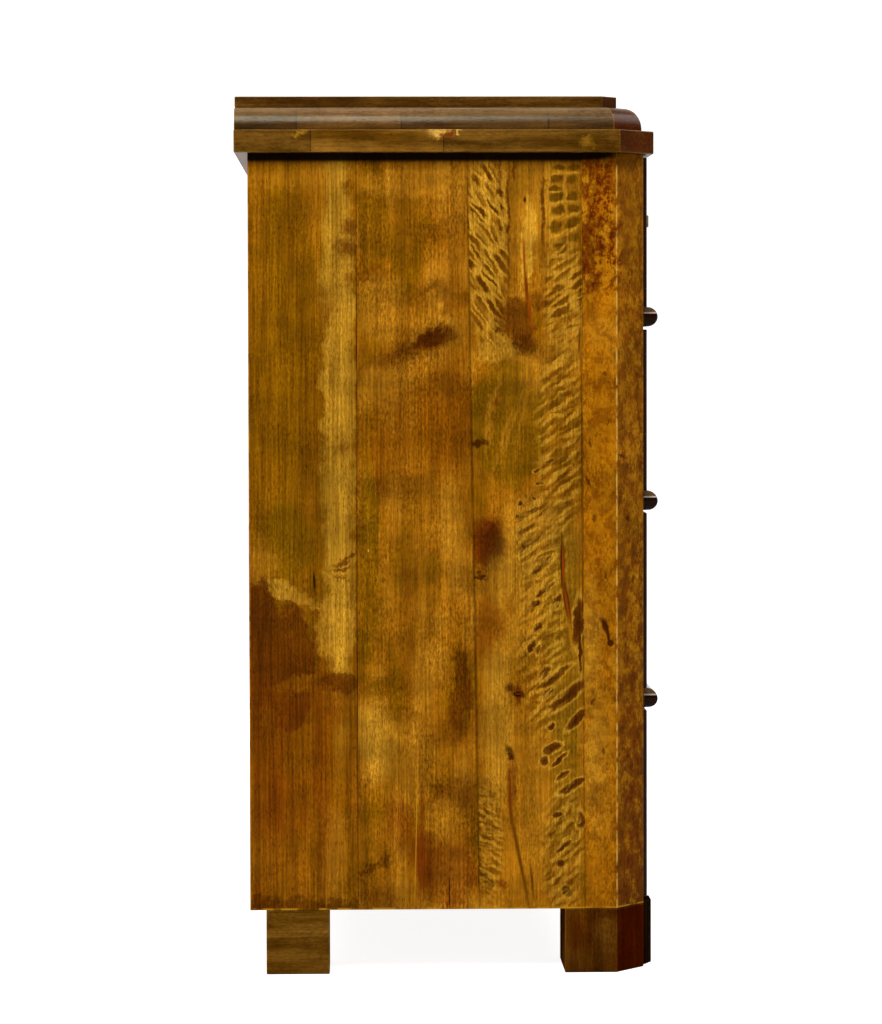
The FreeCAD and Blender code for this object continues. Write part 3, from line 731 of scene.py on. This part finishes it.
def front_board_birch():
    """Front board: flame figure at both sides of a pale heart above and a gold one below, with knots and
    red cracks."""
    washes = [
        (330, 840, 80, 70, 0, 0.4, GOLD, 0.6),
        (335, 802, 10, 50, 0, 0.2, PALE, 0.95),
        (309, 815, 8, 70, 0, 0.4, UMBER, 0.35),
        (318, 700, 24, 38, 0, 0.2, UMBER, 0.85),
        (333, 678, 12, 16, 0, 0.3, SMOKE, 0.6),
        (348, 731, 9, 10, 0, 0.6, UMBER, 0.7),
        (296, 672, 26, 14, 0, 0.4, PALE, 0.65),
        (312, 585, 46, 76, 0, 0.12, MOSS, 0.8),
        (290, 600, 5, 45, -12, 0.5, GOLD, 0.7),
        (345, 640, 20, 20, 0, 0.5, GOLD, 0.7),
        (320, 390, 44, 80, 0, 0.6, AMBER, 0.35),
        (288, 441, 22, 33, 0, 0.3, RUST, 0.85),
        (293, 438, 16, 27, 0, 0.5, SMOKE, 0.75),
        (330, 470, 30, 30, 0, 0.4, GOLD, 0.7),
        (322, 370, 36, 70, 0, 0.4, PALE, 0.55),
        (315, 366, 5, 18, 0, 0.6, BROWN, 0.6),
        (286, 340, 20, 34, 0, 0.5, RUST, 0.75),
        (299, 288, 14, 28, 0, 0.9, PALE, 1.0),
        (312, 316, 54, 72, 0, 0.6, AMBER, 0.34),
        (377, 330, 24, 160, 0, 0.2, LICHEN, 0.7),
        (325, 120, 44, 120, 0, 0.4, GOLD, 0.85),
        (340, 110, 14, 90, 0, 0.6, PALE, 0.4),
        (330, 110, 50, 120, 0, 0.6, AMBER, 0.5),
        (300, 205, 18, 70, 0, 0.5, PALE, 0.5),
        (312, 154, 5, 26, 0, 0.5, RUST, 0.6),
        (380, 150, 18, 90, 0, 0.3, LICHEN, 0.6),
    ]
    hollows = [
        (352, 413, 15, 3.4, 37),
        (332, 433, 10, 3.4, 35),
        (354, 383, 14, 2.2, 35),
        (368, 369, 11, 3.2, 66),
        (343, 368, 5, 3, 0),
        (346, 339, 7, 4.5, 60),
        (339, 316, 8, 3.4, 80),
        (347, 312, 6, 2.4, 80),
        (353, 284, 9.5, 4, 45),
        (364, 278, 22, 3.6, 36),
        (381, 257, 25, 6.5, 40),
        (357, 261, 9, 3.2, 45),
        (392, 228, 13.5, 4.6, 50),
        (362, 220, 4.5, 3, 35),
        (363, 194, 10, 5, 30),
        (354, 179, 6, 4, 70),
        (370, 179, 11, 3, 45),
        (376, 160, 7, 3, 35),
        (387, 148, 17, 4.2, 30),
        (369.5, 111, 6.5, 4, -20),
        (377, 76, 9, 2.6, 40),
        (373.5, 54, 4.5, 4, 0),
        (397, 107, 4.5, 9, 0),
        (380, 21, 5, 6, 0),
        (360.5, 539, 4.5, 2, 20),
        (345, 528, 4.5, 1.8, 15),
        (348.5, 512, 4.5, 1.8, 10),
        (342, 494, 2.4, 2.2, 0),
        (325.5, 488, 2, 2.4, 0),
        (341, 480, 4, 2.4, 25),
        (323, 473, 2.2, 2.2, 0),
        (325.5, 455, 2.4, 5, -10),
        (329, 438, 3.4, 4, 0),
        (394, 344, 5, 25, -5),
        (396.5, 312, 2.2, 26, 2),
    ]
    cells = [
        (372, 889, 9, 3.6, 0),
        (389, 889, 8, 4, 8),
        (369, 875, 9.5, 5, 4),
        (387, 874, 7.5, 5.4, 10),
        (368, 864.5, 8.5, 3.4, 0),
        (370, 854, 10, 5.4, 6),
        (388, 855, 8, 6.4, 16),
        (370, 838, 8.5, 5.4, 8),
        (389, 840, 7, 5.4, 24),
        (367, 819, 9.5, 6.6, 16),
        (388, 823, 10, 5.6, 32),
        (373, 800, 11, 4.6, 22),
        (390, 806, 8, 4, 40),
    ]
    net = [
        (378, 882, 20, 1.6, 3),
        (367, 860.5, 8, 1.3, 2),
        (372, 847, 18, 1.7, 8),
        (368, 829, 14, 1.7, 14),
        (385, 832, 12, 1.6, 28),
        (372, 810, 16, 1.9, 22),
        (388, 814, 10, 1.6, 36),
        (379, 858, 1.6, 27, 0),
        (360, 848, 1.7, 44, 0),
    ]
    streaks = [
        (307, 850, 2, 50, 0, 0.7, PALE, 0.8),
        (302.5, 842, 1.6, 54, 0, 0.5, UMBER, 0.95),
        (311.5, 815, 1.5, 70, 0, 0.5, UMBER, 0.9),
        (318, 886, 2, 14, 3, 0.6, UMBER, 0.8),
        (352.5, 836, 2.2, 44, 0, 0.5, UMBER, 0.85),
        (303, 560, 2, 42, -20, 0.9, GOLD, 0.6),
        (314, 575, 1.8, 46, -18, 0.9, GOLD, 0.5),
        (328, 590, 2.2, 34, -12, 0.9, GOLD, 0.45),
    ]
    knot = [
        (323, 258.5, 4.5, 12, 0, 0.5, RUST, 0.95),
        (313.5, 265.5, 6, 5, -20, 0.6, SMOKE, 0.85),
        (323, 258.5, 8, 3.8, 0, 0.35, PITCH, 0.95),
        (323, 258.5, 4.4, 1.6, 0, 0.5, RUST, 0.85),
        (312, 189, 4, 9, 25, 0.5, SMOKE, 0.85),
    ]
    rungs = in_one_tone(cells, 0.4, FLAME_CELL, 0.9) + in_one_tone(net, 0.6, PALE, 0.75)
    marks = [
        (273, 559, 8, 6, 0, 0.5, SMOKE, 0.85),
        (315, 248, 7, 8, 0, 0.7, OLIVE, 0.6),
        (279, 40, 4, 8, 0, 0.6, SMOKE, 0.7),
        (290, 28, 4, 8, 0, 0.6, SMOKE, 0.6),
        (304.5, 31, 6, 6, 0, 0.6, RUST, 0.8),
        (312, 182, 6, 4, -45, 0.4, SMOKE, 0.9),
        (277, 401, 11, 3.4, 6, 0.4, SMOKE, 0.85),
    ]
    cracks = [
        (331, 851, 1.6, 3.6, 0, 0.5, SMOKE, 0.95),
        (330, 784, 1.5, 24, 2, 0.7, RED_CRACK, 0.9),
        (332.5, 748, 1.9, 22, 4, 0.6, RUST, 0.95),
        (337, 718, 1.5, 20, 7, 0.7, RED_CRACK, 0.9),
        (396, 682, 1.1, 17, -2, 0.5, SMOKE, 0.8),
        (375.5, 416, 2.8, 32, 1, 0.4, SMOKE, 0.9),
        (380, 372, 3.2, 26, 9, 0.4, SMOKE, 0.9),
        (376.4, 410, 1.2, 26, 1, 0.6, RED_CRACK, 1.0),
        (381, 366, 1.5, 22, 9, 0.6, RED_CRACK, 1.0),
        (385, 330, 1.4, 18, 6, 0.6, AMBER, 0.9),
        (312.5, 132, 2.2, 30, 2, 0.7, RUST, 0.85),
        (323.5, 62, 2.2, 58, 11, 0.7, UMBER, 0.85),
        (338.5, 34, 1.5, 20, 6, 0.7, UMBER, 0.8),
        (296, 610, 1.6, 5, -14, 0.6, RUST, 0.8),
        (269.5, 453, 0.9, 470, 0.9, 0.5, PITCH, 0.45),
        (399.3, 453, 0.8, 470, 0.3, 0.5, SMOKE, 0.6),
        PAINTED_SHADOW_UNDER_TOP,
    ]
    ripples = [
        (284, 796, 25, 110, -55, 34, 8, 1.0, 0.9),
        (378, 735, 24, 66, 32, 34, 9, 1.0, 0.75),
        (372, 570, 26, 130, 36, 30, 9, 0.7, 0.3),
        (352, 340, 28, 140, 40, 26, 9, 0.6, 0.25),
        (376, 70, 24, 80, 42, 26, 9, 0.75, 0.4),
        (284, 80, 20, 70, -25, 18, 7, 0.8, 0.5),
        (345, 450, 26, 46, 38, 28, 9, 0.95, 0.4),
    ]
    ground = (OLIVE, HONEY, GOLD)
    bars = streaks + rungs + knot
    return side_birch("front_board_birch", ground, washes, marks, cracks, ripples, bars, hollows, pebbles=0.5)


def post_birch():
    """Corner posts: amber birch with red burl on the side, above all at the top, plainer and browner on the
    cant."""
    washes = [
        (420, 850, 30, 60, 0, 0.4, RUST, 0.35),
        (408, 770, 7, 46, 0, 0.4, UMBER, 0.6),
        (424, 690, 18, 20, 0, 0.5, GOLD, 0.7),
        (412, 640, 8, 20, 0, 0.5, BROWN, 0.6),
        (408, 330, 12, 60, 0, 0.6, PALE, 0.75),
        (416, 180, 14, 90, 0, 0.6, PALE, 0.4),
        (420, 520, 30, 150, 0, 0.6, AMBER, 0.7),
        (471, 453, 29.6, 3000, 0, 0.005, HONEY, 0.85),
        (462, 300, 20, 300, 0, 0.6, OLIVE, 0.5),
        (455, 560, 10, 60, 0, 0.6, GOLD, 0.4),
        (466, 760, 12, 90, 0, 0.6, OLIVE, 0.5),
        (462, 100, 20, 160, 0, 0.4, BROWN, 0.7),
        (462, 20, 20, 60, 0, 0.4, UMBER, 0.6),
    ]
    marks = [(471, 453, 1.5, 3000, 0, 0.9, UMBER, 0.6)]
    comma = [
        (427, 340, 3.4, 9, 18),
        (430, 330, 2.4, 9, 14),
        (433, 321, 4, 5, 40),
    ]
    specks = [
        (407, 515, 1.6, 5, 20),
        (414, 469, 2.2, 5, 10),
        (432, 585, 1.4, 4, -15),
        (426, 643, 2.6, 3, 60),
        (410, 560, 1.2, 4, 0),
        (428, 400, 1.3, 5, 15),
        (412, 250, 1.4, 4, -20),
        (424, 190, 1.6, 5, 10),
        (448, 545, 4, 1.6, -30),
        (455, 470, 3, 2.6, 20),
        (462, 395, 1.8, 6, 0),
        (466, 640, 1.6, 6, 5),
    ]
    flecks = in_one_tone(comma, 0.4, SMOKE, 0.95) + in_one_tone(specks, 0.5, SMOKE, 0.7)
    # Painted shadow under the overhang of the top, laid with the cracks
    cracks = [(400, 905, 44, 7, 0, 0.3, SHADOW, 0.98)]
    burl = [
        (414, 850, 30, 60, 0.95),
        (432, 800, 14, 60, 0.95),
        (408, 770, 14, 40, 0.95),
        (425, 420, 60, 420, 0.45),
        (466, 180, 22, 240, 0.5),
        (466, 640, 22, 300, 0.35),
    ]
    rubbed = [(441, 453, 1.0, 900, 0, 0.6, WORN, 1.0)]
    ground = (HONEY, AMBER, GOLD)
    return side_birch("post_birch", ground, washes, marks, cracks, bars=flecks, burl=burl, rubbed=rubbed,
                      pebbles=0.5, streaks=0.25)


# Pieces and their finishes

BACK_BOARDS = ("back_board_top", "back_board_middle", "back_board_bottom")


def dress(material, *nodes):
    for name in nodes:
        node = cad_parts[name]
        if node.material_slots:
            node.material_slots[0].material = material
        else:
            node.data.materials.append(material)


def pair(name):
    return "left_" + name, "right_" + name


def soften_arrises(width, *nodes):
    """Rounds the sharp edges of flat-faced pieces."""
    for name in nodes:
        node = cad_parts[name]
        weld = node.modifiers.new("weld", "WELD")
        weld.merge_threshold = 0.02 * MM
        bevel = node.modifiers.new("arris", "BEVEL")
        bevel.width = width
        bevel.segments = 2
        bevel.limit_method = "ANGLE"
        bevel.angle_limit = math.radians(30)
        flat = node.modifiers.new("flat faces", "WEIGHTED_NORMAL")
        flat.weight = 100


def dress_sides():
    dress(rear_board_birch(), *pair("side_rear_board"))
    dress(middle_board_birch(), *pair("side_middle_board"))
    dress(front_board_birch(), *pair("side_front_board"))
    dress(post_birch(), *pair("corner_post"))
    soften_arrises(1.0 * MM, *pair("corner_post"))


def dress_top():
    repairs = [
        (228, 934, 12, 8, 30, 0.5, WORN, 0.9),
        (240, 930, 7, 4, 30, 0.5, RUST, 0.9),
        (250, 934, 4, 3, 0, 0.5, WORN, 0.8),
        (60, 935, 8, 3, 0, 0.9, PALE, 0.5),
        (404, 922, 8, 5, 0, 1.0, PALE, 0.35),
    ]
    joints = (0.024, 0.158)
    top = stained_birch("top_birch", TOP_DARK, TOP_BROWN, "EDGE", 0.8, TOP_RED, joints, marks=repairs)
    dress(top, "top_board")
    panel = stained_birch("top_panel_birch", CORNICE_DARK, CORNICE_BROWN, "EDGE", 0.5, FOOT_DARK)
    dress(panel, "top_panel")
    smooth = (0.2, 0.26)
    # The cornice gets dust and painted top light on what faces up
    lit = {"dusty_top_light": (0.25, 0.85, 0.38), "gloss": 0.17, "smooth": smooth}
    tones = (CORNICE_DARK, CORNICE_BROWN)
    ends = stained_birch("cornice_birch", *tones, "Y", 0.5, joints=(0.074, 0.125), **lit)
    dress(ends, "cornice_left", "cornice_right")
    front = stained_birch("cornice_front_birch", *tones, "X", 0.5, joints=(0.06, 0.12), **lit)
    dress(front, "cornice_front")
    tones = (FOOT_DARK, CORNICE_BROWN)
    corners = stained_birch("cornice_corner_birch", *tones, "Y", 0.5, TOP_RED, smooth=smooth)
    dress(corners, "cornice_left_corner", "cornice_right_corner")


def dress_feet():
    rear = stained_birch("rear_foot_birch", TOP_DARK, TOP_BROWN, "Y", 0.7, gloss=0.0)
    dress(rear, *pair("rear_foot"))
    blotches = [
        (426, -34, 12, 22, 0, 0.9, TOP_BROWN, 0.25),
        (386, -64, 22, 12, 0, 0.9, CORNICE_BROWN, 0.3),
        (392, -26, 14, 18, 0, 0.9, FOOT_RED, 0.4),
        (430, -6, 20, 6, 0, 0.8, SMOKE, 0.6),
    ]
    tones = (FOOT_DARK, FOOT_BROWN)
    front = stained_birch("front_foot_birch", *tones, "Z", 0.7, FOOT_RED, gloss=0.0, marks=blotches)
    dress(front, *pair("front_foot"))
    dress(ebonised_birch(), *pair("foot_facing"), "keyhole_plate")
    soften_arrises(1.2 * MM, *pair("front_foot"), *pair("rear_foot"), *pair("foot_facing"))


def dress_drawers_and_inside():
    fronts = front_birch()
    # The pulls get dust and painted top light above, and a painted highlight line along their upper curve
    pulls = stained_birch("pull_birch", FRONT_RED, PULL_BROWN, "X", 0.2, dusty_top_light=(0.3, 0.38, 0.3), brow_highlight=0.6,
                          gloss=0.04, smooth=(0.06, 0.1))
    pine_across = bare_pine("pine_across", "X")
    pine_deep = bare_pine("pine_deep", "Y")
    for number in range(1, 5):
        drawer = "drawer_%d_" % number
        dress(fronts, drawer + "front")
        dress(pine_deep, drawer + "left_side", drawer + "right_side")
        dress(pine_across, drawer + "back", drawer + "bottom")
    for number in range(1, 4):
        dress(pulls, "drawer_%d_pull" % number)
        dress(pine_across, "drawer_rail_%d" % number)
    dress(pine_across, "top_rail", "bottom_rail", "bottom_board", "top_core", *BACK_BOARDS)
    dress(pine_deep, "drawer_runners", "drawer_guides")


def dress_lock():
    iron = worn_metal("lock_iron", IRON, IRON_RUST, 0.7, (0.45, 0.7))
    dress(iron, "lock_case", "lock_bolt")
    fasten_chest(iron)
    dress(worn_metal("key_steel", STEEL, STEEL_DARK, 0.6, (0.3, 0.5)), "drawer_key")


# Nails and screws

RING_CORNERS = 8


def new_object(name, data):
    thing = bpy.data.objects.new(name, data)
    bpy.context.collection.objects.link(thing)
    return thing


def iron_piece(name, shape, body, iron):
    """Turns a finished shape into a piece of iron that rides on a body."""
    mesh = bpy.data.meshes.new(name)
    bmesh.ops.recalc_face_normals(shape, faces=shape.faces)
    shape.to_mesh(mesh)
    shape.free()
    mesh.materials.append(iron)
    piece = new_object(name, mesh)
    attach(piece, body)


def ring_of_points(shape, place, turn, radius, height, uneven=0.0, phase=0.0):
    """Corners of a round, hammered out of true by its share of unevenness."""
    points = []
    for corner in range(RING_CORNERS):
        angle = math.tau * corner / RING_CORNERS
        reach = radius * (1 + uneven * math.sin(2.3 * phase + 1.7 * corner))
        spot = Vector((reach * math.cos(angle), reach * math.sin(angle), height))
        points.append(shape.verts.new(Vector(place) + turn @ spot))
    return points


def half_ring_of_points(shape, place, turn, radius, height, side, slot_half):
    """Corners of the round on one side of a slot."""
    first = math.asin(slot_half / radius)
    points = []
    for corner in range(RING_CORNERS):
        angle = first + (math.pi - 2 * first) * corner / (RING_CORNERS - 1)
        spot = Vector((radius * math.cos(angle), side * radius * math.sin(angle), height))
        points.append(shape.verts.new(Vector(place) + turn @ spot))
    return points


def skin(shape, rings):
    """Faces from ring to ring, and over the first and the last."""
    for lower, upper in zip(rings, rings[1:]):
        for corner in range(RING_CORNERS):
            after = (corner + 1) % RING_CORNERS
            shape.faces.new((lower[corner], lower[after], upper[after], upper[corner]))
    shape.faces.new(rings[0])
    shape.faces.new(rings[-1])


def nail_heads(name, body, places, outward, iron):
    """Hammered heads of cut nails."""
    shape = bmesh.new()
    turn = Vector(outward).to_track_quat("Z", "Y")
    for number, place in enumerate(places):
        rings = [
            ring_of_points(shape, place, turn, 3.4 * MM, -0.4 * MM, 0.1, number),
            ring_of_points(shape, place, turn, 3.2 * MM, 0.15 * MM, 0.12, number),
            ring_of_points(shape, place, turn, 1.7 * MM, 0.5 * MM, 0.2, number + 0.5),
        ]
        skin(shape, rings)
    iron_piece(name, shape, body, iron)


def screw_heads(name, body, places, outward, iron):
    """Round screw heads, each of two halves with the slot between them over a thin disc."""
    shape = bmesh.new()
    turn = Vector(outward).to_track_quat("Z", "Y")
    slot_half = 0.4 * MM
    half_profile = ((3.6 * MM, -0.4 * MM), (3.6 * MM, 0.5 * MM), (2.6 * MM, 1.3 * MM))
    disc_profile = ((3.2 * MM, -0.5 * MM), (3.2 * MM, 0.3 * MM))
    for number, place in enumerate(places):
        slot_turn = turn @ Euler((0.0, 0.0, 0.9 * number + 0.4)).to_quaternion()
        for side in (-1, 1):
            skin(shape, [half_ring_of_points(shape, place, slot_turn, radius, height, side, slot_half)
                         for radius, height in half_profile])
        skin(shape, [ring_of_points(shape, place, slot_turn, radius, height)
                     for radius, height in disc_profile])
    iron_piece(name, shape, body, iron)


def fasten_chest(iron):
    """Nails through the back boards and the drawer bottoms, and the screws of the lock."""
    nail_inset, screw_inset = 9 * MM, 7 * MM
    places = []
    for board in BACK_BOARDS:
        low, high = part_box(board)
        for share in (0.12, 0.5, 0.88):
            up = low.z + share * (high.z - low.z)
            places += [(low.x + nail_inset, high.y, up), (high.x - nail_inset, high.y, up)]
    nail_heads("back_nails", "case", places, (0, 1, 0), iron)
    for number in range(1, 5):
        low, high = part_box("drawer_%d_back" % number)
        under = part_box("drawer_%d_bottom" % number)[0].z
        across = [low.x + share * (high.x - low.x) for share in (0.08, 0.29, 0.5, 0.71, 0.92)]
        places = [(place, (low.y + high.y) / 2, under) for place in across]
        nail_heads("drawer_%d_nails" % number, "drawer_%d" % number, places, (0, 0, -1), iron)
    low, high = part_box("lock_case")
    across = (low.x + screw_inset, high.x - screw_inset)
    up = (low.z + screw_inset, high.z - screw_inset)
    places = itertools.product(across, (high.y,), up)
    screw_heads("lock_screws", "drawer_1", places, (0, 1, 0), iron)


# Studio and camera

def pale_finish(name, glow):
    """Plain paper for the floor and the backdrop: white where it is looked at, grey where it lights the
    chest."""
    material, tree = new_finish(name)
    path = put(tree, "ShaderNodeLightPath").outputs
    seen = calc(tree, "MAXIMUM", path["Is Camera Ray"], path["Is Glossy Ray"])
    seen = calc(tree, "MAXIMUM", seen, path["Is Transmission Ray"])
    paper = put(tree, "ShaderNodeBsdfDiffuse", {"Color": (0.5, 0.5, 0.5, 1.0)}).outputs[0]
    white = put(tree, "ShaderNodeEmission", {"Strength": calc(tree, "MULTIPLY", seen, glow)}).outputs[0]
    surface = put(tree, "ShaderNodeAddShader", {0: paper, 1: white}).outputs[0]
    put(tree, "ShaderNodeOutputMaterial", {"Surface": surface})
    return material


def pale_sheet(name, corners, material):
    mesh = bpy.data.meshes.new(name)
    mesh.from_pydata(corners, [], [(0, 1, 2, 3)])
    mesh.materials.append(material)
    sheet = new_object(name, mesh)


def softbox(name, place, target, width, height, power):
    lamp = bpy.data.lights.new(name, "AREA")
    lamp.shape = "RECTANGLE"
    lamp.size = width
    lamp.size_y = height
    lamp.energy = power
    light = new_object(name, lamp)
    light.location = place
    light.rotation_euler = (Vector(target) - Vector(place)).to_track_quat("-Z", "Y").to_euler()


def light_studio():
    """White sweep behind the far side, a high softbox over the camera and weaker ones round the other
    sides."""
    reach = 90.0
    corners = [(-reach, -reach, 0), (reach, -reach, 0), (reach, reach, 0), (-reach, reach, 0)]
    pale_sheet("floor", corners, pale_finish("floor_paper", 0.9))
    away, half, height = 9.0, 14.0, 12.0
    corners = [(away, -half, 0), (away, half, 0), (away, half, height), (away, -half, height)]
    pale_sheet("backdrop", corners, pale_finish("wall_paper", 1.0))
    world = bpy.data.worlds.new("studio")
    bpy.context.scene.world = world
    world.use_nodes = True
    sky = world.node_tree.nodes["Background"]
    fill(world.node_tree, sky, {"Color": (1.0, 1.0, 1.0, 1.0), "Strength": 0.32})
    middle = (0.0, 0.0, 0.55)
    softbox("left_softbox", (-2.5, 0.7, 3.4), middle, 2.0, 1.4, 124.0)
    softbox("front_softbox", (0.9, -3.0, 2.8), middle, 1.8, 1.4, 80.0)
    softbox("right_softbox", (3.0, 0.6, 2.6), middle, 1.8, 1.4, 80.0)
    softbox("back_softbox", (-0.4, 3.2, 2.6), middle, 1.8, 1.4, 60.0)


def set_camera():
    """Square on to the left side, as the chest was photographed."""
    lens = bpy.data.cameras.new("camera")
    lens.sensor_fit = "AUTO"
    lens.sensor_width = 36.0
    lens.lens = 112.5
    lens.shift_x = 0.0232
    lens.shift_y = -0.0696
    camera = new_object("camera", lens)
    camera.location = (-4.3752, 0.1409, 0.7559)
    downward, aside, roll = 1.721, 1.276, -0.136
    aim = Euler((math.radians(90 - downward), 0.0, math.radians(-90 - aside))).to_matrix()
    camera.rotation_euler = (aim @ Matrix.Rotation(math.radians(roll), 3, "Z")).to_euler()
    bpy.context.scene.camera = camera


bpy.context.scene.view_settings.view_transform = "Standard"
dress_sides()
dress_top()
dress_feet()
dress_drawers_and_inside()
dress_lock()
light_studio()
set_camera()
